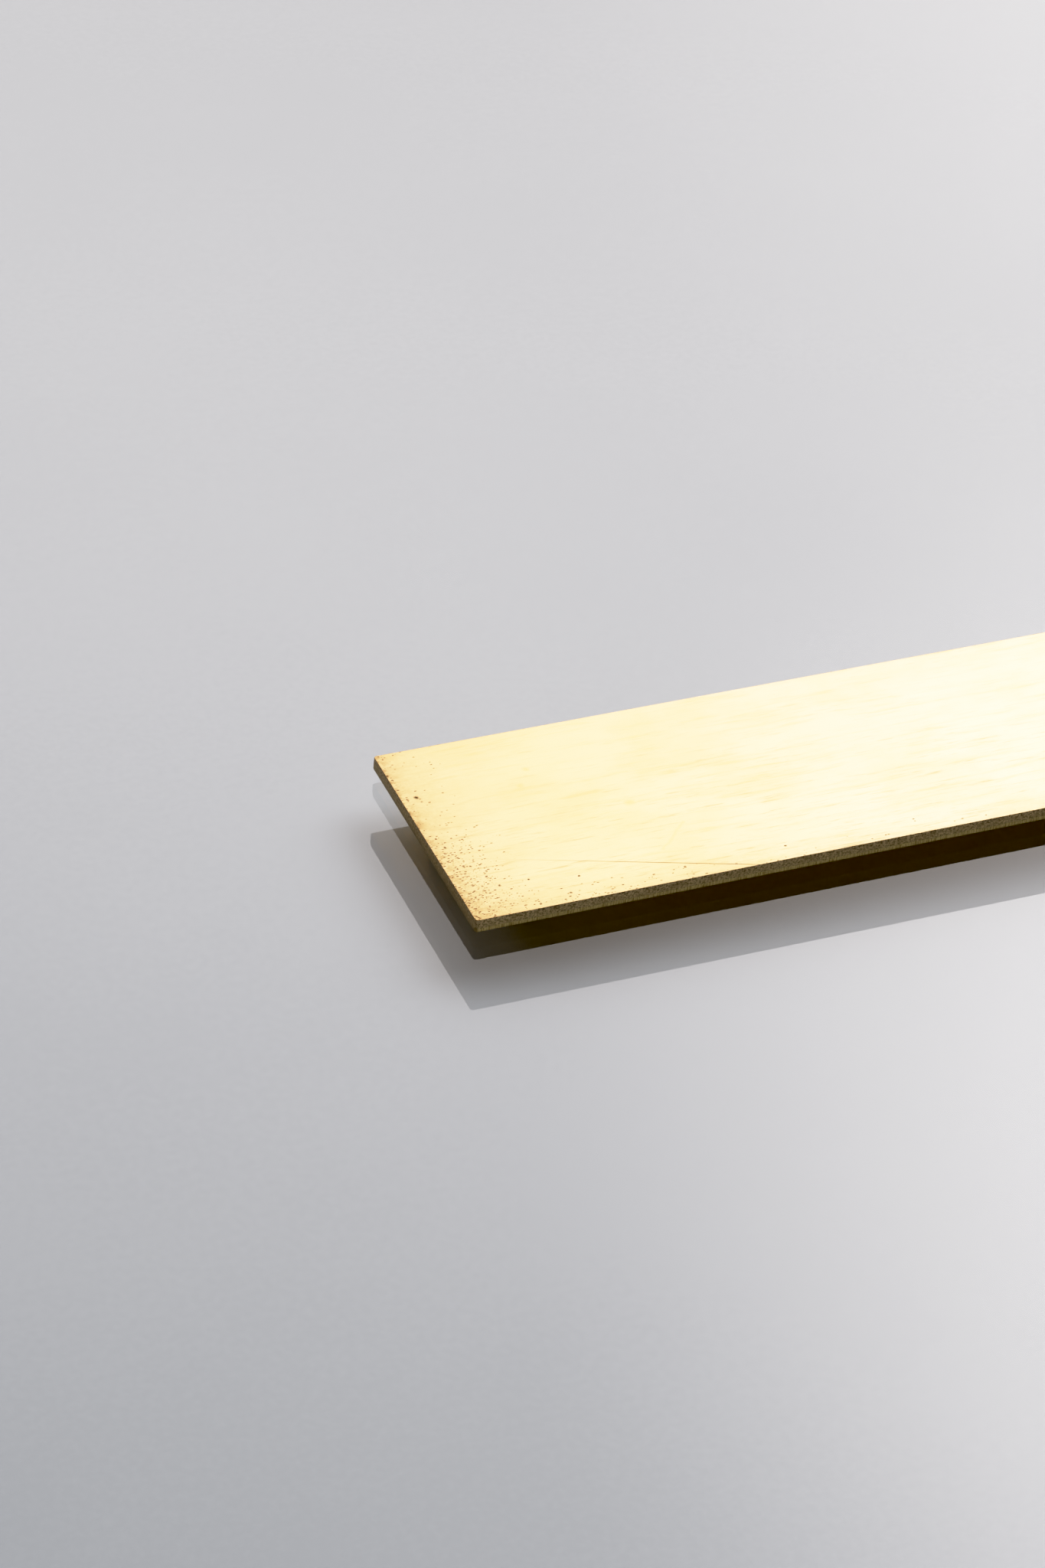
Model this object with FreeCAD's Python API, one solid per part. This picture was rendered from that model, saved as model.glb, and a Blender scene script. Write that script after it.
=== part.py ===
import FreeCAD, Part
import os

# A paperweight: a flat brass bar, cut on a guillotine from rolled sheet, which stands on four
# thin non-slip discs. Each disc is held under the bar by its own round of double-sided film.
#
# Millimetres. +X runs along the bar, +Y across it towards the back, and +Z is up. The origin is
# under the middle of the bar, on the surface that the feet stand on.

# Driving dimensions
BAR_LENGTH = 150.0
BAR_WIDTH = 30.0
BAR_THICKNESS = 1.5
CORNER_RADIUS = 0.4         # the four corners of the outline, broken with a file
TOP_BREAK_RADIUS = 0.05     # the burr is dressed off the crisp top edge
BOTTOM_ROLL_RADIUS = 0.15   # the blade came from below and rolled the bottom edge over

FOOT_DIAMETER = 8.0
FOOT_THICKNESS = 0.85
FOOT_RIM_RADIUS = 0.15      # the rim of a die-cut disc, softened by wear
FOOT_INSET = 8.0            # from an edge of the bar to the middle of a foot

FILM_DIAMETER = 7.6
FILM_THICKNESS = 0.15

BAR_BOTTOM = FOOT_THICKNESS + FILM_THICKNESS
FOOT_X = BAR_LENGTH / 2 - FOOT_INSET
FOOT_Y = BAR_WIDTH / 2 - FOOT_INSET
FOOT_PLACES = {
    "front_left": (-FOOT_X, -FOOT_Y),
    "front_right": (FOOT_X, -FOOT_Y),
    "rear_left": (-FOOT_X, FOOT_Y),
    "rear_right": (FOOT_X, FOOT_Y),
}

SAME_HEIGHT = 1e-6


def edges_at(solid, height):
    """The edges of a solid that lie wholly at one height."""
    return [
        edge
        for edge in solid.Edges
        if all(abs(vertex.Z - height) < SAME_HEIGHT for vertex in edge.Vertexes)
    ]


def upright_edges(solid):
    """The edges of a solid that stand straight up."""
    return [
        edge
        for edge in solid.Edges
        if abs(edge.Vertexes[0].Z - edge.Vertexes[-1].Z) > SAME_HEIGHT
    ]


def make_bar():
    """The brass bar: a plain rectangle in plan, with its corners and both outlines eased."""
    corner = FreeCAD.Vector(-BAR_LENGTH / 2, -BAR_WIDTH / 2, BAR_BOTTOM)
    bar = Part.makeBox(BAR_LENGTH, BAR_WIDTH, BAR_THICKNESS, corner)
    bar = bar.makeFillet(CORNER_RADIUS, upright_edges(bar))
    bar = bar.makeFillet(TOP_BREAK_RADIUS, edges_at(bar, BAR_BOTTOM + BAR_THICKNESS))
    return bar.makeFillet(BOTTOM_ROLL_RADIUS, edges_at(bar, BAR_BOTTOM))


def make_foot(x, y):
    """One non-slip disc, with the rim that it stands on softened."""
    foot = Part.makeCylinder(FOOT_DIAMETER / 2, FOOT_THICKNESS, FreeCAD.Vector(x, y, 0))
    return foot.makeFillet(FOOT_RIM_RADIUS, edges_at(foot, 0))


def make_film(x, y):
    """One round of double-sided film, between a foot and the bar."""
    return Part.makeCylinder(
        FILM_DIAMETER / 2, FILM_THICKNESS, FreeCAD.Vector(x, y, FOOT_THICKNESS)
    )


os.makedirs("parts", exist_ok=True)
nodes = {"bar": make_bar()}
for place, (foot_x, foot_y) in FOOT_PLACES.items():
    nodes["foot_" + place] = make_foot(foot_x, foot_y)
    nodes["film_" + place] = make_film(foot_x, foot_y)
for name, shape in nodes.items():
    shape.exportStep(f"parts/{name}.step")
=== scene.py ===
import math

import bmesh
import bpy
from mathutils import Matrix, Vector, noise


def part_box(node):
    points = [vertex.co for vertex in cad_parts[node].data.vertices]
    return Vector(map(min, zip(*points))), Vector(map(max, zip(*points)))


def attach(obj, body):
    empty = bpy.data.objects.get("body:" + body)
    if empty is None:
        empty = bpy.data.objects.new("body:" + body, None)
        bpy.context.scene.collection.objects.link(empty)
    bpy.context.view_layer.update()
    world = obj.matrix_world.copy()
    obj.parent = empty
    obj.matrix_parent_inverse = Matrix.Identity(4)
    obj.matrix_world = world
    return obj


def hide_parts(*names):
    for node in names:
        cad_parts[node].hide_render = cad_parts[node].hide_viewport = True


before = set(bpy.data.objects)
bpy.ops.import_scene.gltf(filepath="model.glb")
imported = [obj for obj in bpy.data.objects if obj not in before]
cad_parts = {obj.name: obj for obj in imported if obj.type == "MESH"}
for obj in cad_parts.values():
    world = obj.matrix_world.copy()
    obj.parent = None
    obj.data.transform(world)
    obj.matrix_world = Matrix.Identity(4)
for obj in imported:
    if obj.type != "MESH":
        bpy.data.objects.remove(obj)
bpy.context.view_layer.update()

# The paperweight's looks: a brushed brass bar with guillotined edges, on four rubber discs.
# Metres, in the CAD's frame: +X along the bar, +Y across it, +Z up. The materials and the noise
# count in millimetres.

MM = 0.001
bar_low, bar_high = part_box("bar")
HALF_LENGTH = (bar_high.x - bar_low.x) / 2
HALF_WIDTH = (bar_high.y - bar_low.y) / 2
TOP = bar_high.z
BOTTOM = bar_low.z
WIDTH = 2 * HALF_WIDTH


# ---------------------------------------------------------------- node helpers


def put(socket, value):
    """Links a socket to a value that is itself a socket, or sets it as a constant."""
    if isinstance(value, bpy.types.NodeSocket):
        socket.id_data.links.new(value, socket)
    else:
        socket.default_value = value


def add(tree, kind, inputs=None, **settings):
    """Adds a node, with its settings and its inputs by name or number."""
    made = tree.nodes.new(kind)
    for name, value in settings.items():
        setattr(made, name, value)
    for name, value in (inputs or {}).items():
        put(made.inputs[name], value)
    return made


def maths(tree, operation, *values, clamp=False):
    """A Math node's output."""
    made = add(tree, "ShaderNodeMath", operation=operation, use_clamp=clamp)
    for socket, value in zip(made.inputs, values):
        put(socket, value)
    return made.outputs[0]


def ramp(tree, value, low, high, to_low=0.0, to_high=1.0):
    """A value carried smoothly from the range low..high to to_low..to_high, and held there."""
    made = add(
        tree,
        "ShaderNodeMapRange",
        {"Value": value, "From Min": low, "From Max": high, "To Min": to_low, "To Max": to_high},
        interpolation_type="SMOOTHSTEP",
    )
    return made.outputs["Result"]


def blend_colour(tree, share, first, second, kind="MIX"):
    """Two colours mixed by a share from 0, all first, to 1, all second."""
    made = add(tree, "ShaderNodeMix", data_type="RGBA", blend_type=kind)
    put(made.inputs[0], share)
    put(made.inputs[6], first)
    put(made.inputs[7], second)
    return made.outputs[2]


def place_mm(tree, scale=(1, 1, 1), turn=(0, 0, 0), shift=(0, 0, 0)):
    """The point on the object in millimetres, then scaled along each axis, turned and shifted."""
    point = add(tree, "ShaderNodeTexCoord").outputs["Object"]
    return add(
        tree,
        "ShaderNodeMapping",
        {
            "Vector": point,
            "Scale": [part / MM for part in scale],
            "Rotation": turn,
            "Location": shift,
        },
    ).outputs["Vector"]


def grain(tree, point, detail=3.0, roughness=0.5, scale=1.0, distortion=0.0):
    """Smooth noise from 0 to 1 at a point."""
    made = add(
        tree,
        "ShaderNodeTexNoise",
        {
            "Vector": point,
            "Scale": scale,
            "Detail": detail,
            "Roughness": roughness,
            "Distortion": distortion,
        },
    )
    return made.outputs["Fac"]


def new_material(name):
    """A material with only a Principled shader in it: its tree and the shader."""
    material = bpy.data.materials.new(name)
    material.use_nodes = True
    tree = material.node_tree
    return material, tree, tree.nodes["Principled BSDF"]


def bump(tree, height, distance, normal=None):
    """A bump from a height of 0 to 1 that stands for distance in metres."""
    made = add(tree, "ShaderNodeBump", {"Height": height, "Distance": distance, "Strength": 1.0})
    if normal is not None:
        put(made.inputs["Normal"], normal)
    return made.outputs["Normal"]


# ---------------------------------------------------------------- materials

# The middle of the top face is painted paler than the ends as a painted highlight, the cream of
# brightly lit brass; the ends are warmer with tarnish.
HIGHLIT_MIDDLE_BRASS = (0.83, 0.618, 0.386, 1)
END_BRASS = (0.84, 0.580, 0.308, 1)
WARM_BRASS = (0.78, 0.490, 0.215, 1)
DULL_BRASS = (0.55, 0.350, 0.165, 1)
# The underside is painted a deeper brass than the top: painted shade that tints the shade under
# the bar brown.
UNDERSIDE_SHADE_BRASS = (0.84, 0.520, 0.170, 1)
TARNISH = (0.30, 0.185, 0.075, 1)
SPECK = (0.085, 0.062, 0.034, 1)
GRAZING_BRASS = (1.0, 0.88, 0.60, 1)   # what the brass goes to where it is seen edge-on
TORN_HOLLOW_SHADE = (0.210, 0.148, 0.082, 1)    # the hollows of the torn zone, tarnished and darkened further as painted shade
TORN_CREST_HIGHLIGHT = (1.000, 0.790, 0.480, 1)   # and its crests, brighter as a painted highlight
TORN_PATCH = (0.36, 0.25, 0.13, 1)
CUT_GROOVE_SHADE = (0.500, 0.360, 0.150, 1)     # the grooves of the scored zone, darker as painted shade
CUT_RIDGE_HIGHLIGHT = (1.000, 0.800, 0.380, 1)    # and its ridges, brighter as a painted highlight
CUT_SMEAR = (0.40, 0.28, 0.13, 1)
# painted shade on the edges of the two ends
END_FACE_SHADE = (0.16, 0.115, 0.07, 1)
RUBBER_DARK = (0.018, 0.018, 0.019, 1)
RUBBER_PALE = (0.040, 0.039, 0.038, 1)
RUBBER_DUST = (0.20, 0.19, 0.17, 1)
FILM_CLEAR = (0.66, 0.63, 0.53, 1)
FILM_CLOUDY = (0.78, 0.76, 0.69, 1)
FILM_SCATTER = (0.4 * MM, 0.4 * MM, 0.3 * MM)
BACKING_LOW = (0.61, 0.710, 0.800, 1)
BACKING_HIGH = (0.65, 0.750, 0.840, 1)

# How much the top face dulls towards its outline: a reach in millimetres and a share.
END_DULLING = (3.6, 0.80)
FRONT_DULLING = (2.6, 0.44)
REAR_DULLING = (0.4, 0.08)

# The roughness that the two brass materials start from, and the heights of each relief.
FACE_ROUGHNESS = 0.20
EDGE_ROUGHNESS = 0.46
BRUSHING = 0.55            # how much further the light spreads across the brushed lines
LINE_RELIEF = 0.0020 * MM
HAIR_RELIEF = 0.0010 * MM
PIT_RELIEF = 0.012 * MM
CRUMB_RELIEF = 0.020 * MM
SCORE_RELIEF = 0.006 * MM
STIPPLE_RELIEF = 0.020 * MM
FILM_RELIEF = 0.010 * MM


def specks(tree, cell, density, size, shift, stretch=1.0):
    """Scattered dots: a mask of 1 inside each dot.

    cell is their spacing in millimetres, density the share of cells with a dot and size the
    largest radius in cells. stretch draws them out along the bar.
    """
    point = place_mm(tree, (1 / (cell * stretch), 1 / cell, 1 / cell), shift=shift)
    cells = add(tree, "ShaderNodeTexVoronoi", {"Vector": point, "Scale": 1.0}, feature="F1")
    draw = add(tree, "ShaderNodeSeparateColor", {"Color": cells.outputs["Color"]})
    present = maths(tree, "LESS_THAN", draw.outputs["Red"], density)
    radius = maths(tree, "MULTIPLY", draw.outputs["Green"], size)
    edge = maths(tree, "SUBTRACT", radius, cells.outputs["Distance"])
    return maths(tree, "MULTIPLY", present, ramp(tree, edge, 0.0, size * 0.3))


def outline_distances(tree):
    """How far a point is from the bar's nearer end, its front and its back, in millimetres."""
    parts = add(tree, "ShaderNodeSeparateXYZ", {"Vector": place_mm(tree)})
    ends = maths(tree, "ABSOLUTE", parts.outputs["X"])
    return (
        maths(tree, "SUBTRACT", HALF_LENGTH / MM, ends),
        maths(tree, "ADD", parts.outputs["Y"], HALF_WIDTH / MM),
        maths(tree, "SUBTRACT", HALF_WIDTH / MM, parts.outputs["Y"]),
    )


def fade(tree, distance, reach, amount):
    """An amount that dies away exponentially with distance."""
    share = maths(tree, "EXPONENT", maths(tree, "DIVIDE", distance, -reach))
    return maths(tree, "MULTIPLY", share, amount)


def flat_point(tree):
    """The point on the object in millimetres, seen from above."""
    flat = add(tree, "ShaderNodeVectorMath", {0: place_mm(tree), 1: (1, 1, 0)},
               operation="MULTIPLY")
    return flat.outputs[0]


def spot(tree, point, centre, radius):
    """1 in the middle of a round mark, falling to 0 at its radius."""
    apart = add(tree, "ShaderNodeVectorMath", {0: point, 1: (*centre, 0)}, operation="DISTANCE")
    return ramp(tree, apart.outputs["Value"], radius, 0.0)


def stroke(tree, point, start, end, width):
    """A mark along a line: its mask, and how far along the line each point is, from 0 to 1."""
    start, end = Vector((*start, 0)), Vector((*end, 0))
    span = end - start
    from_start = add(tree, "ShaderNodeVectorMath", {0: point, 1: start}, operation="SUBTRACT")
    dot = add(tree, "ShaderNodeVectorMath",
              {0: from_start.outputs[0], 1: span / span.length_squared}, operation="DOT_PRODUCT")
    along = maths(tree, "ADD", dot.outputs["Value"], 0.0, clamp=True)
    nearest = add(tree, "ShaderNodeVectorMath", {0: span}, operation="SCALE")
    put(nearest.inputs["Scale"], along)
    apart = add(tree, "ShaderNodeVectorMath",
                {0: from_start.outputs[0], 1: nearest.outputs[0]}, operation="DISTANCE")
    return ramp(tree, apart.outputs["Value"], width, 0.0), along


def most(tree, masks):
    """The greatest of several masks."""
    total = masks[0]
    for mask in masks[1:]:
        total = maths(tree, "MAXIMUM", total, mask)
    return total


# Marks on the top face: (x, y) in millimetres, and a radius.
PITS = (((-73.2, 6.5), 0.34), ((-62.2, -11.0), 0.22), ((-67.2, -10.0), 0.19),
        ((-73.7, -2.3), 0.20), ((-39.7, -12.7), 0.20))
STAINS = (((-74.5, 2.1), 1.3), ((-73.6, 14.5), 1.4), ((-62.1, 5.5), 0.9),
          ((-52.3, -0.9), 1.0), ((-60.6, 7.9), 0.7))
SCRATCH = ((-71.5, -5.0), (-43.2, -15.1))
SCRATCH_WIDTH = 0.055
SMEAR = ((-52.2, -9.6), (-48.3, -5.7))
SMEAR_WIDTH = 0.40
UNEVENNESS = 1.2  # the span in millimetres over which the noise pushes the pits and stains about


def top_marks(tree):
    """The pits, the stains and the hairline scratch of the top face, as three masks."""
    flat = flat_point(tree)
    # The outlines of the pits and stains are uneven; the scratch is straight.
    shaky = add(tree, "ShaderNodeTexNoise",
                {"Vector": place_mm(tree, (0.5, 0.5, 1)), "Scale": 1.0, "Detail": 3.0})
    sway = add(tree, "ShaderNodeVectorMath", {0: shaky.outputs["Color"], 1: (0.5, 0.5, 0.5)},
               operation="SUBTRACT")
    sway = add(tree, "ShaderNodeVectorMath", {0: sway.outputs[0], 1: (UNEVENNESS, UNEVENNESS, 0)},
               operation="MULTIPLY")
    point = add(tree, "ShaderNodeVectorMath", {0: flat, 1: sway.outputs[0]}, operation="ADD")
    point = point.outputs[0]
    pits = most(tree, [spot(tree, point, place, radius) for place, radius in PITS])
    stains = most(tree, [spot(tree, point, place, radius) for place, radius in STAINS])
    smear, _ = stroke(tree, point, *SMEAR, SMEAR_WIDTH)
    stains = maths(tree, "MAXIMUM", stains, maths(tree, "MULTIPLY", smear, 0.7))
    line, along = stroke(tree, flat, *SCRATCH, SCRATCH_WIDTH)
    scratch = maths(tree, "MULTIPLY", line, ramp(tree, along, 0.1, 0.7, 0.15, 1.0))
    return pits, stains, scratch


def brushed_lines(tree):
    """Broad brushed lines along the bar, from 0 to 1."""
    # They wander a little, so the point they are read at is pushed about slowly.
    wander = grain(tree, place_mm(tree, (0.05, 0.12, 1)), detail=2)
    sway = add(tree, "ShaderNodeCombineXYZ", {"Y": maths(tree, "MULTIPLY", wander, 4)})
    pushed = add(tree, "ShaderNodeVectorMath",
                 {0: place_mm(tree, (0.11, 1.5, 1)), 1: sway.outputs[0]}, operation="ADD")
    return grain(tree, pushed.outputs[0], detail=5, roughness=0.68)


def clean_brass(tree, lines, cloud, mottle, stains, on_top):
    """The face's colour without grime: warm patches and streaks, duller towards the outline, paler
    in the middle of the top as a painted highlight, and a deeper brass on the underside as painted
    shade.
    """
    end, front, rear = outline_distances(tree)
    # Paler towards the middle as a painted highlight; warmer towards the ends with tarnish.
    colour = blend_colour(tree, ramp(tree, end, 12.0, 58.0), END_BRASS, HIGHLIT_MIDDLE_BRASS)
    warm = maths(tree, "MULTIPLY", ramp(tree, cloud, 0.42, 0.66), 0.25)
    streaks = maths(tree, "MULTIPLY", ramp(tree, lines, 0.50, 0.70), 0.40)
    warm = maths(tree, "ADD", warm, streaks, clamp=True)
    warm = maths(tree, "MAXIMUM", warm, maths(tree, "MULTIPLY", stains, 0.75))
    colour = blend_colour(tree, warm, colour, WARM_BRASS)

    dull = maths(tree, "ADD", fade(tree, end, *END_DULLING), fade(tree, front, *FRONT_DULLING))
    dull = maths(tree, "ADD", dull, fade(tree, rear, *REAR_DULLING))
    dull = maths(tree, "MULTIPLY", dull, ramp(tree, mottle, 0.30, 0.70, 0.7, 1.3))
    dull = maths(tree, "MULTIPLY", dull, on_top, clamp=True)
    colour = blend_colour(tree, dull, colour, DULL_BRASS)
    # The underside takes a deeper brass than the top, as painted shade that tints the shade under
    # the bar brown.
    return blend_colour(tree, on_top, UNDERSIDE_SHADE_BRASS, colour)


def grime_places(tree, on_top):
    """Where grime gathers, thickest at the front of the ends, and the last strip of each end."""
    end, front, _ = outline_distances(tree)
    near_end = maths(tree, "MULTIPLY", ramp(tree, end, 9.0, 0.0),
                     ramp(tree, front, 19.0, 4.0, 0.12, 1.0))
    at_end = maths(tree, "MULTIPLY", ramp(tree, end, 1.5, 0.0), 0.6)
    near_front = maths(tree, "MULTIPLY", ramp(tree, front, 3.0, 0.0),
                       ramp(tree, end, 34.0, 4.0, 0.05, 0.4))
    cover = maths(tree, "MULTIPLY", most(tree, [near_end, at_end, near_front]), on_top)
    return cover, at_end


def tarnish_share(tree, cover, at_end, mottle, stains):
    """How tarnished the face is: grime in the brushing, stained ends and lines drawn along."""
    _, front, _ = outline_distances(tree)
    grit = grain(tree, place_mm(tree, (2.6, 3.6, 1)), detail=4, roughness=0.75)
    limit = maths(tree, "SUBTRACT", 0.66, maths(tree, "MULTIPLY", cover, 0.16))
    grime = ramp(tree, maths(tree, "SUBTRACT", grit, limit), 0.0, 0.08)
    grime = maths(tree, "MULTIPLY", grime, 0.45)
    edge_stain = maths(tree, "MULTIPLY", ramp(tree, mottle, 0.45, 0.62), at_end)
    fine = grain(tree, place_mm(tree, (0.28, 3.6, 1), turn=(0, 0, 0.03)), detail=4, roughness=0.6)
    drawn = maths(tree, "MULTIPLY", ramp(tree, fine, 0.54, 0.76),
                  ramp(tree, front, 24.0, 6.0, 0.20, 0.55))
    end_stains = maths(tree, "MULTIPLY", maths(tree, "MULTIPLY", stains, at_end), 1.2)
    return most(tree, [grime, edge_stain, drawn, end_stains])


def dark_spots(tree, cover, pits, scratch):
    """The dots, the blots, the pits and the scratch, as one mask."""
    # The brushing draws the dots and blots out along the bar.
    dots = specks(tree, 0.165, maths(tree, "MULTIPLY", cover, 1.1), 0.60, (3.1, 7.7, 0), 2.0)
    blots = specks(tree, 0.50, maths(tree, "MULTIPLY", cover, 0.35), 0.30, (5.3, 1.9, 0), 1.5)
    rare = specks(tree, 1.10, 0.012, 0.14, (1.3, 2.9, 0))
    dots = maths(tree, "MULTIPLY", dots, 0.62)
    blots = maths(tree, "MULTIPLY", blots, 0.5)
    scratch = maths(tree, "MULTIPLY", scratch, 0.85)
    return most(tree, [dots, blots, rare, pits, scratch])


def face_brass():
    """The rolled and brushed faces: fine lines along the bar, with tarnish at the ends, a painted
    highlight in the middle of the top and painted shade on the underside.
    """
    material, tree, shader = new_material("brass_brushed")
    # 1 on the top face, which handling has dulled and soiled, and 0 on the underside, which is
    # painted a deeper brass as painted shade.
    up = add(tree, "ShaderNodeSeparateXYZ", {"Vector": place_mm(tree)}).outputs["Z"]
    on_top = ramp(tree, up, TOP / MM - 1.0, TOP / MM - 0.5)
    lines = brushed_lines(tree)
    hair = grain(tree, place_mm(tree, (0.4, 14.0, 1)), detail=2)
    cloud = grain(tree, place_mm(tree, (0.09, 0.13, 1)), detail=5, roughness=0.6)
    mottle = grain(tree, place_mm(tree, (1.2, 1.5, 1)), detail=5, roughness=0.7)
    pits, stains, scratch = top_marks(tree)

    colour = clean_brass(tree, lines, cloud, mottle, stains, on_top)
    cover, at_end = grime_places(tree, on_top)
    tarnish = tarnish_share(tree, cover, at_end, mottle, stains)
    colour = blend_colour(tree, tarnish, colour, TARNISH)
    dark = dark_spots(tree, cover, pits, scratch)
    put(shader.inputs["Base Color"], blend_colour(tree, dark, colour, SPECK))

    rough = maths(tree, "ADD", FACE_ROUGHNESS, maths(tree, "MULTIPLY", lines, 0.12))
    rough = maths(tree, "ADD", rough, maths(tree, "MULTIPLY", cloud, 0.10))
    rough = maths(tree, "ADD", rough, maths(tree, "MULTIPLY", dark, 0.35))
    put(shader.inputs["Roughness"], rough)

    relief = bump(tree, lines, LINE_RELIEF)
    relief = bump(tree, hair, HAIR_RELIEF, relief)
    relief = bump(tree, maths(tree, "SUBTRACT", 1.0, dark), PIT_RELIEF, relief)
    put(shader.inputs["Normal"], relief)

    shader.inputs["Metallic"].default_value = 1.0
    shader.inputs["Specular Tint"].default_value = GRAZING_BRASS
    # The brushed lines run along the bar, so they spread the light across it.
    shader.inputs["Anisotropic"].default_value = BRUSHING
    along = add(tree, "ShaderNodeTangent", direction_type="UV_MAP", uv_map="along")
    put(shader.inputs["Tangent"], along.outputs[0])
    return material


def edge_brass():
    """The guillotined edge: a torn upper zone and a smoother, brighter scored zone below; painted
    shade darkens their hollows and the ends, and a painted highlight lights their crests.
    """
    material, tree, shader = new_material("brass_sheared")
    scored = add(tree, "ShaderNodeAttribute", attribute_name="scored").outputs["Fac"]
    crumbs = grain(tree, place_mm(tree, (3.6, 3.6, 4.5)), detail=5, roughness=0.75)
    patches = grain(tree, place_mm(tree, (0.9, 0.9, 1.8)), detail=4, roughness=0.6)
    lines = grain(tree, place_mm(tree, (6, 6, 0.6)), detail=4, roughness=0.65)
    smears = grain(tree, place_mm(tree, (0.6, 0.6, 9)), detail=3)

    # Darker hollows and brighter crests follow the relief: painted shade and a painted highlight.
    torn = blend_colour(tree, ramp(tree, crumbs, 0.34, 0.62), TORN_HOLLOW_SHADE, TORN_CREST_HIGHLIGHT)
    patched = maths(tree, "MULTIPLY", ramp(tree, patches, 0.45, 0.75), 0.5)
    torn = blend_colour(tree, patched, torn, TORN_PATCH)
    # Darker grooves and brighter ridges follow the score relief: painted shade and a painted
    # highlight.
    cut = blend_colour(tree, ramp(tree, lines, 0.32, 0.60), CUT_GROOVE_SHADE, CUT_RIDGE_HIGHLIGHT)
    smeared = maths(tree, "MULTIPLY", ramp(tree, smears, 0.5, 0.75), 0.45)
    cut = blend_colour(tree, smeared, cut, CUT_SMEAR)
    colour = blend_colour(tree, scored, torn, cut)

    # The edges of the two ends are painted darker than the long ones, most of all where they are
    # scored: painted shade.
    end, _, _ = outline_distances(tree)
    end_shade = maths(tree, "MULTIPLY", ramp(tree, end, 0.45, 0.10),
                 ramp(tree, scored, 0, 1, 0.45, 0.75))
    put(shader.inputs["Base Color"], blend_colour(tree, end_shade, colour, END_FACE_SHADE))

    rough = maths(tree, "ADD", EDGE_ROUGHNESS, maths(tree, "MULTIPLY", crumbs, 0.22))
    rough = maths(tree, "SUBTRACT", rough, maths(tree, "MULTIPLY", scored, 0.14))
    put(shader.inputs["Roughness"], rough)
    relief = bump(tree, crumbs, CRUMB_RELIEF)
    put(shader.inputs["Normal"], bump(tree, lines, SCORE_RELIEF, relief))
    shader.inputs["Metallic"].default_value = 1.0
    return material


def foot_rubber():
    """Black non-slip rubber with a fine moulded stipple and a little dust."""
    material, tree, shader = new_material("foot_rubber")
    stipple = grain(tree, place_mm(tree, (7, 7, 7)), detail=3, roughness=0.6)
    cloud = grain(tree, place_mm(tree, (0.5, 0.5, 0.5)), detail=4)
    colour = blend_colour(tree, ramp(tree, cloud, 0.35, 0.7), RUBBER_DARK, RUBBER_PALE)
    dust = specks(tree, 0.6, 0.10, 0.16, (0.4, 5.2, 1.1))
    colour = blend_colour(tree, maths(tree, "MULTIPLY", dust, 0.6), colour, RUBBER_DUST)
    put(shader.inputs["Base Color"], colour)
    put(shader.inputs["Roughness"], ramp(tree, stipple, 0.3, 0.7, 0.62, 0.85))
    put(shader.inputs["Normal"], bump(tree, stipple, STIPPLE_RELIEF))
    return material


def adhesive_film():
    """Milky double-sided film, slightly cloudy where the adhesive has wetted out."""
    material, tree, shader = new_material("adhesive_film")
    wet = grain(tree, place_mm(tree, (0.9, 0.9, 0.9)), detail=4, roughness=0.6)
    colour = blend_colour(tree, ramp(tree, wet, 0.35, 0.7), FILM_CLEAR, FILM_CLOUDY)
    put(shader.inputs["Base Color"], colour)
    put(shader.inputs["Roughness"], ramp(tree, wet, 0.3, 0.7, 0.28, 0.50))
    put(shader.inputs["Normal"], bump(tree, wet, FILM_RELIEF))
    shader.inputs["Subsurface Weight"].default_value = 0.25
    shader.inputs["Subsurface Radius"].default_value = FILM_SCATTER
    return material


# ---------------------------------------------------------------- the bar

STATION_STEP = 0.18 * MM
CORNER_RADIUS = 0.4 * MM
CORNER_STEPS = 10
GRID_CELL = 1.0 * MM
GRID_INSET = 1.0 * MM
FACE_RINGS = (0.62 * MM, 0.30 * MM, 0.12 * MM)

EDGE_BREAK = 0.05 * MM     # the torn top edge, just broken
TORN_LEAN = 0.05 * MM      # the torn zone falls back by this much at the top
TORN_ROUGHNESS = 0.014 * MM
TORN_ROWS = 7
SPLIT_DEPTH = 0.98 * MM    # from the top face to where the torn zone meets the scored zone
SPLIT_WAVER = 0.10 * MM
SCORED_ROWS = 4
SCORE_DEPTH = 0.004 * MM
ROLL_RADIUS = 0.15 * MM    # the blade rolls the lower edge over as it enters
FLATNESS = 0.004 * MM
FIRST_SCORED_ROW = 0.35    # in steps below the split

# How far each kind of unevenness reaches, in millimetres.
FLATNESS_REACH = (14, 9)
SPLIT_REACH = (2.4, 0.6)
RAGGED_REACH = 0.3
SCORE_REACH = 0.25
LUMP_REACH = (0.45, 0.35)
SMALL_LUMP_REACH = 0.2


def smooth_noise(*place):
    """Noise from about -1 to 1, at a place counted in millimetres."""
    return noise.noise(Vector((*place, 0, 0)[:3]) / MM)


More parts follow.
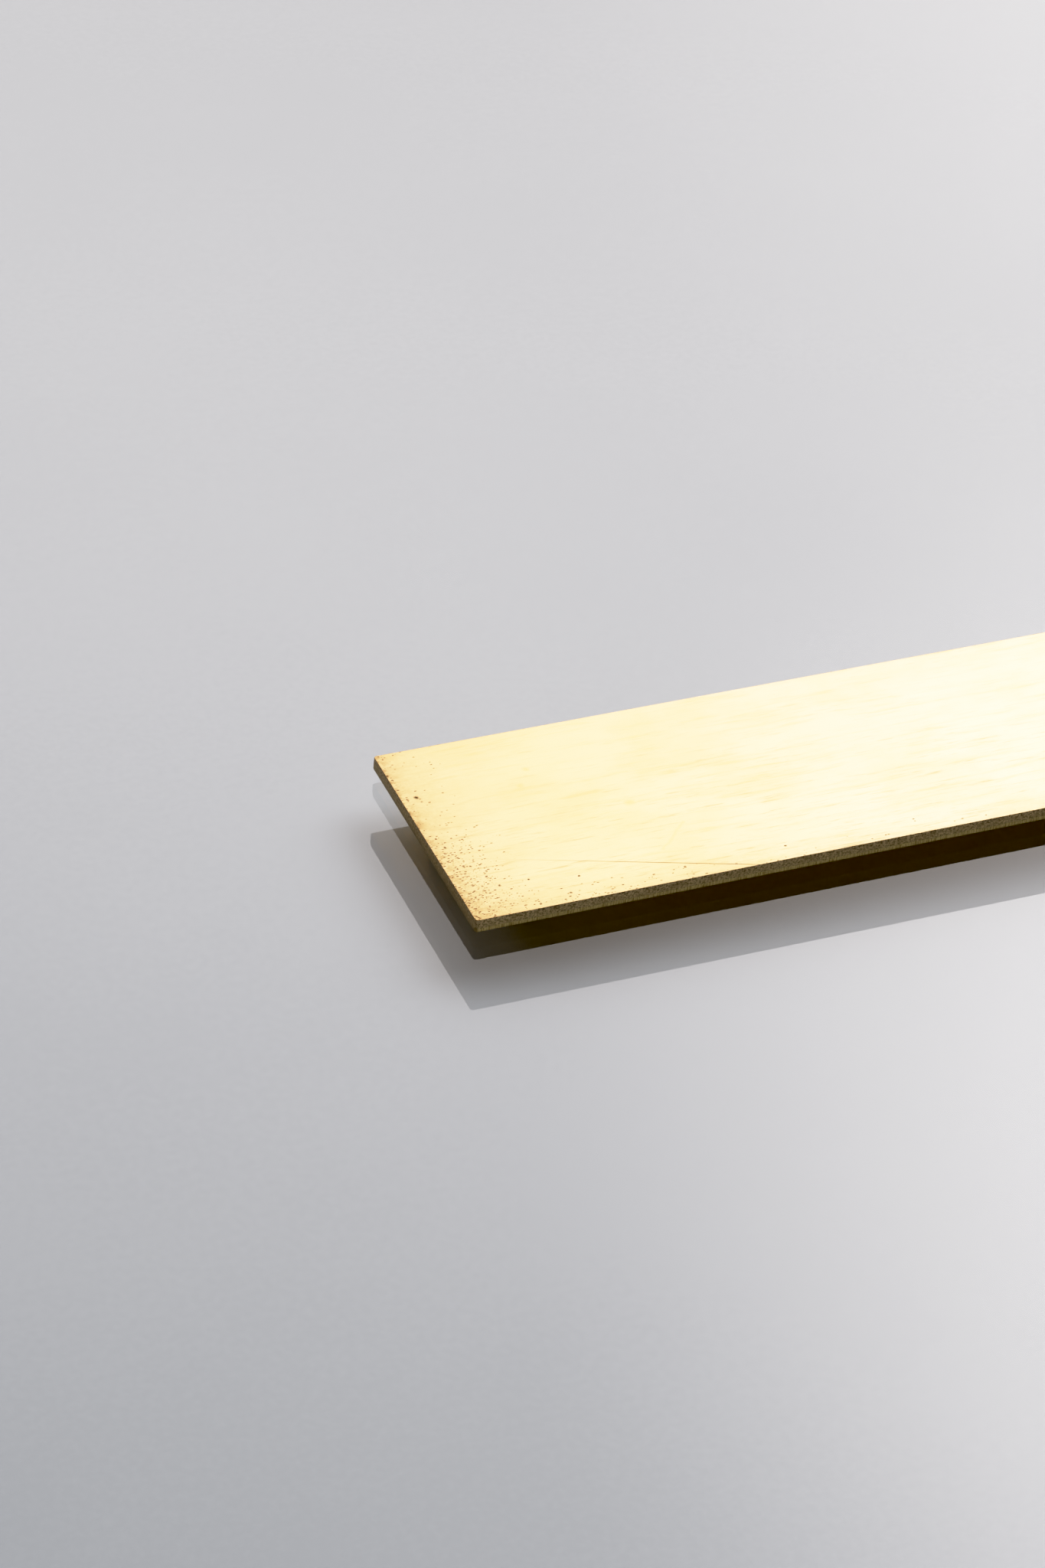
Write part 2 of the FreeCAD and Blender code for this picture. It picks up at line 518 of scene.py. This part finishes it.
def stations():
    """Stations round the outline, anticlockwise: arc centre, outward normal, distance round."""
    made = []
    run = 0.0
    inner = Vector((HALF_LENGTH - CORNER_RADIUS, HALF_WIDTH - CORNER_RADIUS))
    signs = ((1, -1), (1, 1), (-1, 1), (-1, -1))
    for corner, (sign_x, sign_y) in enumerate(signs):
        centre = Vector((sign_x * inner.x, sign_y * inner.y))
        for step in range(CORNER_STEPS):
            angle = math.radians(90 * (corner - 1) + 90 * step / CORNER_STEPS)
            normal = Vector((math.cos(angle), math.sin(angle)))
            made.append((centre, normal, run))
            run += CORNER_RADIUS * math.pi / 2 / CORNER_STEPS
        normal = Vector((math.cos(math.radians(90 * corner)), math.sin(math.radians(90 * corner))))
        following = signs[(corner + 1) % 4]
        end = Vector((following[0] * inner.x, following[1] * inner.y))
        length = (end - centre).length
        count = round(length / STATION_STEP)
        for step in range(count):
            made.append((centre.lerp(end, step / count), normal, run))
            run += length / count
    return made


def ring_place(station, inset):
    """Where a station's point lies on a ring set in from the outline by inset."""
    centre, normal, _ = station
    shrunk = Vector((centre.x * (1 - inset / HALF_LENGTH), centre.y * (1 - inset / HALF_WIDTH)))
    return shrunk + normal * CORNER_RADIUS


def flatness(x, y):
    """The small rise and fall of a rolled face."""
    return FLATNESS * smooth_noise(x / FLATNESS_REACH[0], y / FLATNESS_REACH[1], 0.3 * MM)


def edge_point(station, row):
    """A point of the cut edge, as its inset from the outline, its height and how scored it is."""
    zone, share = row
    _, _, run = station
    waver = smooth_noise(run / SPLIT_REACH[0], 0.1 * MM)
    waver += 0.5 * smooth_noise(run / SPLIT_REACH[1], 0.7 * MM)
    split = TOP - SPLIT_DEPTH + SPLIT_WAVER * waver
    ragged = 0.25 * TORN_ROUGHNESS * smooth_noise(run / RAGGED_REACH, 1.9 * MM)
    score = SCORE_DEPTH * smooth_noise(run / SCORE_REACH, 4.4 * MM)
    if zone == "break":
        angle = share * math.pi / 2
        inset = TORN_LEAN + ragged + EDGE_BREAK * (1 - math.sin(angle))
        return inset, TOP - EDGE_BREAK * (1 - math.cos(angle)), 0.0
    if zone == "torn":
        start = TOP - EDGE_BREAK
        height = start + (split - start) * share
        lumps = smooth_noise(run / LUMP_REACH[0], height / LUMP_REACH[1])
        lumps += 0.6 * smooth_noise(run / SMALL_LUMP_REACH, height / SMALL_LUMP_REACH)
        grown = min(1.0, 4 * share)
        inset = TORN_LEAN * (1 - share) + ragged * (1 - grown) + TORN_ROUGHNESS * lumps * grown
        return inset, height, 0.25 * share
    if zone == "scored":
        start = BOTTOM + ROLL_RADIUS
        return score, split + (start - split) * share, 1.0
    angle = share * math.pi / 2
    inset = score * (1 - share) + ROLL_RADIUS * (1 - math.cos(angle))
    return inset, BOTTOM + ROLL_RADIUS * (1 - math.sin(angle)), 1.0 - 0.3 * share


def edge_rows():
    """The rows of the cut edge from the top face down to the underside, as (zone, share)."""
    rows = [("break", share) for share in (0.0, 0.5)]
    rows += [("torn", step / TORN_ROWS) for step in range(TORN_ROWS + 1)]
    rows += [("scored", (step + FIRST_SCORED_ROW) / (SCORED_ROWS + FIRST_SCORED_ROW))
             for step in range(SCORED_ROWS)]
    rows += [("roll", share) for share in (0.0, 0.25, 0.5, 0.75, 1.0)]
    return rows


def zip_loops(outer, inner, places):
    """Triangles between two closed loops of vertices that start beside each other."""
    made = []
    i = j = 0
    while i < len(outer) or j < len(inner):
        a, b = outer[i % len(outer)], inner[j % len(inner)]
        a_next, b_next = outer[(i + 1) % len(outer)], inner[(j + 1) % len(inner)]
        take_outer = j >= len(inner) or (
            i < len(outer)
            and (places[a_next] - places[b]).length <= (places[b_next] - places[a]).length
        )
        if take_outer:
            made.append((a, a_next, b))
            i += 1
        else:
            made.append((a, b_next, b))
            j += 1
    return made


def grid_face(places, height, sign):
    """The flat middle of a face as a grid: its faces, and its boundary loop."""
    half_x, half_y = HALF_LENGTH - GRID_INSET, HALF_WIDTH - GRID_INSET
    across = round(2 * half_x / GRID_CELL)
    deep = round(2 * half_y / GRID_CELL)
    first = len(places)
    for row in range(deep + 1):
        for column in range(across + 1):
            x = half_x * (2 * column / across - 1)
            y = half_y * (2 * row / deep - 1)
            places.append(Vector((x, y, height + sign * flatness(x, sign * y))))

    def index(column, row):
        """The number of the grid's point in a column and a row."""
        return first + row * (across + 1) + column

    faces = [
        (index(c, r), index(c + 1, r), index(c + 1, r + 1), index(c, r + 1))
        for r in range(deep)
        for c in range(across)
    ]
    loop = [index(across, r) for r in range(deep)]
    loop += [index(c, deep) for c in range(across, 0, -1)]
    loop += [index(0, r) for r in range(deep, 0, -1)]
    loop += [index(c, 0) for c in range(across)]
    return faces, loop


def bar_loops(ring):
    """The bar's points in closed loops, from the top face over the cut edge to the underside.

    Gives the places, how scored each is, and the loops as lists of point numbers.
    """
    places, scored, loops = [], [], []

    def add_point(flat, height, share):
        """Adds a point to the last loop."""
        loops[-1].append(len(places))
        places.append(Vector((flat.x, flat.y, height)))
        scored.append(share)

    for inset in FACE_RINGS:
        loops.append([])
        for station in ring:
            flat = ring_place(station, inset)
            add_point(flat, TOP + flatness(flat.x, flat.y), 0.0)
    for row in edge_rows():
        loops.append([])
        for station in ring:
            inset, height, share = edge_point(station, row)
            centre, normal, _ = station
            add_point(centre + normal * (CORNER_RADIUS - inset), height, share)
    for inset in reversed(FACE_RINGS):
        loops.append([])
        for station in ring:
            flat = ring_place(station, inset + ROLL_RADIUS / 2)
            add_point(flat, BOTTOM - flatness(flat.x, -flat.y), 0.0)
    return places, scored, loops


def bar_faces(places, loops):
    """The bar's faces, and the slot of each: 1 on the cut edge and 0 elsewhere."""
    faces, slots = [], []
    edge_first, edge_last = len(FACE_RINGS), len(loops) - len(FACE_RINGS) - 1
    count = len(loops[0])
    for level, (upper, lower) in enumerate(zip(loops, loops[1:])):
        slot = 1 if edge_first <= level < edge_last else 0
        for step in range(count):
            after = (step + 1) % count
            faces.append((upper[step], lower[step], lower[after], upper[after]))
            slots.append(slot)
    for height, sign, loop in ((TOP, 1, loops[0]), (BOTTOM, -1, loops[-1])):
        grid, boundary = grid_face(places, height, sign)
        # The grid's loop starts at its front right corner, so the outline's loop is turned to
        # start in the middle of that corner.
        rim = loop[CORNER_STEPS // 2:] + loop[: CORNER_STEPS // 2]
        grid += zip_loops(rim, boundary, places)
        faces += grid if sign > 0 else [tuple(reversed(face)) for face in grid]
        slots += [0] * len(grid)
    return faces, slots


def build_bar():
    """The bar's mesh: the cut edge in rows, face rings, and a grid across each face."""
    places, scored, loops = bar_loops(stations())
    faces, slots = bar_faces(places, loops)
    scored += [0.0] * (len(places) - len(scored))
    mesh = bpy.data.meshes.new("brass_bar")
    mesh.from_pydata([tuple(place) for place in places], [], faces)
    mesh.polygons.foreach_set("material_index", slots)
    mesh.attributes.new("scored", "FLOAT", "POINT").data.foreach_set("value", scored)
    return mesh


def lay_uv_along(mesh):
    """A UV map that runs along the bar, for the direction of the brushing."""
    layer = mesh.uv_layers.new(name="along")
    for corner, entry in zip(mesh.loops, layer.data):
        place = mesh.vertices[corner.vertex_index].co
        entry.uv = (place.x / WIDTH, (place.y + place.z) / WIDTH)


def make_bar():
    """The bar, in the place of the CAD bar."""
    mesh = build_bar()
    mesh.validate()
    mesh.shade_smooth()
    lay_uv_along(mesh)
    mesh.materials.append(face_brass())
    mesh.materials.append(edge_brass())
    bar = bpy.data.objects.new("brass_bar", mesh)
    bpy.context.scene.collection.objects.link(bar)
    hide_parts("bar")
    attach(bar, "root")
    return bar


# ---------------------------------------------------------------- the feet and their film

DISC_SEGMENTS = 96
RIM_STEPS = 5
HUB_RINGS = (0.25, 0.5, 0.75, 0.9)  # rings on the flat ends, in shares of the radius
SHOULDER_BULGE = 0.8                # the share of its bulge that the side has at its shoulders
SHOULDER_HEIGHT = 0.7               # how high the lower one is, in shares of the half height
OUTLINE_SPREAD = 900                # gives each disc an outline of its own
DISC_PLACES = ("front_left", "front_right", "rear_left", "rear_right")


def lathe(name, profile, centre, wobble):
    """A disc turned from a profile of (radius, height), closed on its axis above and below."""
    mesh = bpy.data.meshes.new(name)
    work = bmesh.new()
    rings = []
    for radius, height in profile:
        ring = []
        for step in range(DISC_SEGMENTS):
            angle = 2 * math.pi * step / DISC_SEGMENTS
            cosine, sine = math.cos(angle), math.sin(angle)
            sample = Vector((cosine, sine, OUTLINE_SPREAD * (centre.x + centre.y)))
            out = radius * (1 + wobble * noise.noise(sample))
            place = (centre.x + out * cosine, centre.y + out * sine, height)
            ring.append(work.verts.new(place))
        rings.append(ring)
    for lower, upper in zip(rings, rings[1:]):
        for step in range(DISC_SEGMENTS):
            after = (step + 1) % DISC_SEGMENTS
            work.faces.new((lower[step], lower[after], upper[after], upper[step]))
    for ring, height in ((rings[0], profile[0][1]), (rings[-1], profile[-1][1])):
        hub = work.verts.new((centre.x, centre.y, height))
        for step in range(DISC_SEGMENTS):
            work.faces.new((ring[step], ring[(step + 1) % DISC_SEGMENTS], hub))
    bmesh.ops.recalc_face_normals(work, faces=work.faces)
    work.to_mesh(mesh)
    work.free()
    mesh.shade_smooth()
    piece = bpy.data.objects.new(name, mesh)
    bpy.context.scene.collection.objects.link(piece)
    return piece


def make_disc(node, name, material, rim, bulge, wobble):
    """A disc in the place of a CAD disc: its rims rounded and its side bulged a little."""
    low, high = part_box(node)
    centre = (low + high) / 2
    radius = (high.x - low.x) / 2 - bulge
    middle = centre.z
    shoulder = radius + bulge * SHOULDER_BULGE
    climb = (middle - low.z) * SHOULDER_HEIGHT
    profile = [(radius * share, low.z) for share in HUB_RINGS]
    for step in range(RIM_STEPS):
        angle = step / (RIM_STEPS - 1) * math.pi / 2
        inset, climbed = rim * (1 - math.sin(angle)), rim * (1 - math.cos(angle))
        profile.append((radius - inset, low.z + climbed))
    profile += [(shoulder, low.z + climb), (radius + bulge, middle), (shoulder, high.z - climb)]
    for step in range(RIM_STEPS):
        angle = (1 - step / (RIM_STEPS - 1)) * math.pi / 2
        inset, climbed = rim * (1 - math.sin(angle)), rim * (1 - math.cos(angle))
        profile.append((radius - inset, high.z - climbed))
    profile += [(radius * share, high.z) for share in reversed(HUB_RINGS)]
    disc = lathe(name, profile, centre, wobble)
    disc.data.materials.append(material)
    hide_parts(node)
    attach(disc, "root")
    return disc


def make_feet():
    """The four feet, and the round of film that holds each."""
    rubber, film = foot_rubber(), adhesive_film()
    for place in DISC_PLACES:
        make_disc("foot_" + place, "rubber_foot_" + place, rubber,
                  rim=0.10 * MM, bulge=0.05 * MM, wobble=0.004)
        make_disc("film_" + place, "tape_" + place, film,
                  rim=0.02 * MM, bulge=0.01 * MM, wobble=0.006)


# ---------------------------------------------------------------- stage, light and camera

FLOOR_SIZE = 4.0
SHEET_DEPTH = 3.25 * MM     # how deep the pale backing of the clear sheet looks
GLASS_INDEX = 1.55          # of its front face
BACKING_INDEX = 1.62        # of its rear face


def stage_plane(name, size, height, material):
    """A level square of the stage."""
    mesh = bpy.data.meshes.new(name)
    half = size / 2
    signs = ((-1, -1), (1, -1), (1, 1), (-1, 1))
    corners = [(across * half, deep * half, height) for across, deep in signs]
    mesh.from_pydata(corners, [], [(0, 1, 2, 3)])
    mesh.materials.append(material)
    plane = bpy.data.objects.new(name, mesh)
    bpy.context.scene.collection.objects.link(plane)
    return plane


def clear_surface():
    """The front of a clear sheet: it mirrors as glass does and shows what is under it."""
    material = bpy.data.materials.new("stage_clear")
    material.use_nodes = True
    tree = material.node_tree
    tree.nodes.clear()
    mirror = add(tree, "ShaderNodeBsdfGlossy", {"Roughness": 0.0})
    through = add(tree, "ShaderNodeBsdfTransparent")
    # Light that comes up from the backing passes through whole.
    side = add(tree, "ShaderNodeNewGeometry")
    above = maths(tree, "SUBTRACT", 1.0, side.outputs["Backfacing"])
    fresnel = add(tree, "ShaderNodeFresnel", {"IOR": GLASS_INDEX})
    share = maths(tree, "MULTIPLY", fresnel.outputs[0], above)
    both = add(tree, "ShaderNodeMixShader",
               {0: share, 1: through.outputs[0], 2: mirror.outputs[0]})
    add(tree, "ShaderNodeOutputMaterial", {"Surface": both.outputs[0]})
    return material


def pale_backing():
    """The pale backing, with the mirror of the sheet's rear face in it."""
    material, tree, shader = new_material("stage_backing")
    cloud = grain(tree, place_mm(tree, (0.02, 0.02, 1)), detail=4)
    fibre = grain(tree, place_mm(tree, (1.2, 1.2, 1)), detail=3)
    mix = maths(tree, "ADD", maths(tree, "MULTIPLY", cloud, 0.6),
                maths(tree, "MULTIPLY", fibre, 0.4))
    colour = blend_colour(tree, ramp(tree, mix, 0.35, 0.65), BACKING_LOW, BACKING_HIGH)
    put(shader.inputs["Base Color"], colour)
    shader.inputs["Roughness"].default_value = 0.0
    shader.inputs["IOR"].default_value = BACKING_INDEX
    return material


# The studio is given by direction: azimuth in degrees from +Y towards +X, and elevation above
# the floor. A broad soft window behind the object lights it, and the room in front is dark.
WINDOW_AZIMUTH = (-10.0, 84.0)
WINDOW_ELEVATION = (24.5, 49.0)
WINDOW_FEATHER = 36.0
WINDOW_LIGHT = (2.86, 3.58)  # at its left and right edges
SHADE_PLACE = (-6.0, 54.0)   # the window's upper left is shaded
SHADE_RADIUS = 34.0
SHADE_SHARE = 0.85
# Soft patches, each with its place, its radius and its light: the brightest part of the window,
# the light from the right that throws the shadows, the window's lower right part, a lamp at the
# left back, a low light from the left and a weak fill from the front right.
PATCHES = (
    ((40.0, 39.4), 13.0, 3.75),
    ((70.0, 38.0), 30.0, 1.5),
    ((36.0, 22.0), 14.0, 1.9),
    ((-41.0, 26.0), 10.0, 3.4),
    ((-92.0, 8.0), 20.0, 0.9),
    ((138.0, 16.0), 15.0, 1.2),
)
HORIZON_LIGHT = 0.35
HORIZON_HEIGHT = 9.0
ROOM_DEPTH = (0.3, 0.9)  # how far back the room's own light starts, and where it is full
FRONT_LIGHT = 0.006
BACK_LIGHT = 0.30
LIGHT_TINT = (1.0, 0.941, 0.932, 1)


def world_angles(tree):
    """The azimuth and elevation of the direction the light comes from, in degrees."""
    way = add(tree, "ShaderNodeTexCoord").outputs["Generated"]
    parts = add(tree, "ShaderNodeSeparateXYZ", {"Vector": way})
    azimuth = maths(tree, "ARCTAN2", parts.outputs["X"], parts.outputs["Y"])
    elevation = maths(tree, "ARCSINE", parts.outputs["Z"])
    return maths(tree, "DEGREES", azimuth), maths(tree, "DEGREES", elevation)


def spot_share(tree, azimuth, elevation, place, radius):
    """1 in the middle of a soft round patch of the world, falling to 0 at its radius."""
    across = maths(tree, "SUBTRACT", azimuth, place[0])
    across = maths(tree, "MULTIPLY", across, math.cos(math.radians(place[1])))
    upward = maths(tree, "SUBTRACT", elevation, place[1])
    squared = maths(tree, "ADD", maths(tree, "MULTIPLY", across, across),
                    maths(tree, "MULTIPLY", upward, upward))
    return ramp(tree, maths(tree, "SQRT", squared), radius, 0.0)


def studio_light():
    """A broad soft window behind the object, brighter to the right, in a dim plain room."""
    world = bpy.data.worlds.new("studio")
    world.use_nodes = True
    bpy.context.scene.world = world
    tree = world.node_tree
    azimuth, elevation = world_angles(tree)
    window = ramp(tree, azimuth, *WINDOW_AZIMUTH, *WINDOW_LIGHT)
    for value, (first, last) in ((azimuth, WINDOW_AZIMUTH), (elevation, WINDOW_ELEVATION)):
        window = maths(tree, "MULTIPLY", window,
                       ramp(tree, value, first - WINDOW_FEATHER / 2, first + WINDOW_FEATHER / 2))
        window = maths(tree, "MULTIPLY", window,
                       ramp(tree, value, last + WINDOW_FEATHER / 2, last - WINDOW_FEATHER / 2))
    shade = spot_share(tree, azimuth, elevation, SHADE_PLACE, SHADE_RADIUS)
    shade = maths(tree, "SUBTRACT", 1.0, maths(tree, "MULTIPLY", shade, SHADE_SHARE))
    window = maths(tree, "MULTIPLY", window, shade)
    total = window
    for place, radius, light in PATCHES:
        patch = spot_share(tree, azimuth, elevation, place, radius)
        total = maths(tree, "ADD", total, maths(tree, "MULTIPLY", patch, light))
    way = add(tree, "ShaderNodeTexCoord").outputs["Generated"]
    depth = add(tree, "ShaderNodeSeparateXYZ", {"Vector": way}).outputs["Y"]
    total = maths(tree, "ADD", total, ramp(tree, depth, *ROOM_DEPTH, FRONT_LIGHT, BACK_LIGHT))
    horizon = ramp(tree, elevation, HORIZON_HEIGHT, 0.0, 0.0, HORIZON_LIGHT)
    total = maths(tree, "ADD", total, horizon)
    back = tree.nodes["Background"]
    back.inputs["Color"].default_value = LIGHT_TINT
    put(back.inputs["Strength"], total)


CAMERA_LENS = 110.3        # in millimetres
CAMERA_SENSOR = 36         # the same
CAMERA_REACH = (0.02, 20)  # the nearest and farthest things it shows
CAMERA_YAW = math.radians(23.69)
CAMERA_PITCH = math.radians(35.59)
CAMERA_ROLL = math.radians(3.61)
CAMERA_OFFSET = (-5.0234, -11.7667, 9.8158)  # from the front left corner, in bar widths


def make_camera():
    """The camera, placed by its angles and its distance from the bar's front left corner."""
    forward = Vector((math.sin(CAMERA_YAW) * math.cos(CAMERA_PITCH),
                      math.cos(CAMERA_YAW) * math.cos(CAMERA_PITCH), -math.sin(CAMERA_PITCH)))
    level = Vector((math.cos(CAMERA_YAW), -math.sin(CAMERA_YAW), 0))
    upward = level.cross(forward)
    right = level * math.cos(CAMERA_ROLL) + upward * math.sin(CAMERA_ROLL)
    up = upward * math.cos(CAMERA_ROLL) - level * math.sin(CAMERA_ROLL)
    data = bpy.data.cameras.new("camera")
    data.lens = CAMERA_LENS
    data.sensor_width = CAMERA_SENSOR
    data.clip_start, data.clip_end = CAMERA_REACH
    camera = bpy.data.objects.new("camera", data)
    bpy.context.scene.collection.objects.link(camera)
    turn = Matrix((right, up, -forward)).transposed().to_4x4()
    place = Vector(CAMERA_OFFSET) * WIDTH + Vector((-HALF_LENGTH, -HALF_WIDTH, 0))
    camera.matrix_world = Matrix.Translation(place) @ turn
    bpy.context.scene.camera = camera


SHOULDER_START = 0.55
SHOULDER_END = 1.03        # what the curve rises towards, and clips a little short of
CURVE_WHITE = 4.0
CURVE_BLACK = (0.003, 0.009, 0.018)  # the darkest shadows go to warm brown
CURVE_POINTS = 14


def film_response():
    """Highlights roll off as on film, so bright brass goes to cream and keeps its hue."""
    view = bpy.context.scene.view_settings
    view.view_transform = "Standard"
    view.look = "None"
    view.use_curve_mapping = True
    mapping = view.curve_mapping
    mapping.black_level = CURVE_BLACK
    mapping.white_level = (CURVE_WHITE,) * 3
    curve = mapping.curves[3]
    room_left = SHOULDER_END - SHOULDER_START
    curve.points[0].location = (0, 0)
    curve.points[1].location = (1, 1)
    straight = curve.points.new(SHOULDER_START / CURVE_WHITE, SHOULDER_START)
    straight.handle_type = "VECTOR"
    for step in range(1, CURVE_POINTS):
        light = SHOULDER_START + (CURVE_WHITE - SHOULDER_START) * (step / CURVE_POINTS) ** 2
        shown = SHOULDER_END - room_left * math.exp(-(light - SHOULDER_START) / room_left)
        curve.points.new(light / CURVE_WHITE, min(shown, 1.0)).handle_type = "VECTOR"
    mapping.update()


make_bar()
make_feet()
stage_plane("stage_sheet", FLOOR_SIZE, 0.0, clear_surface())
stage_plane("stage_base", FLOOR_SIZE, -SHEET_DEPTH, pale_backing())
studio_light()
make_camera()
film_response()
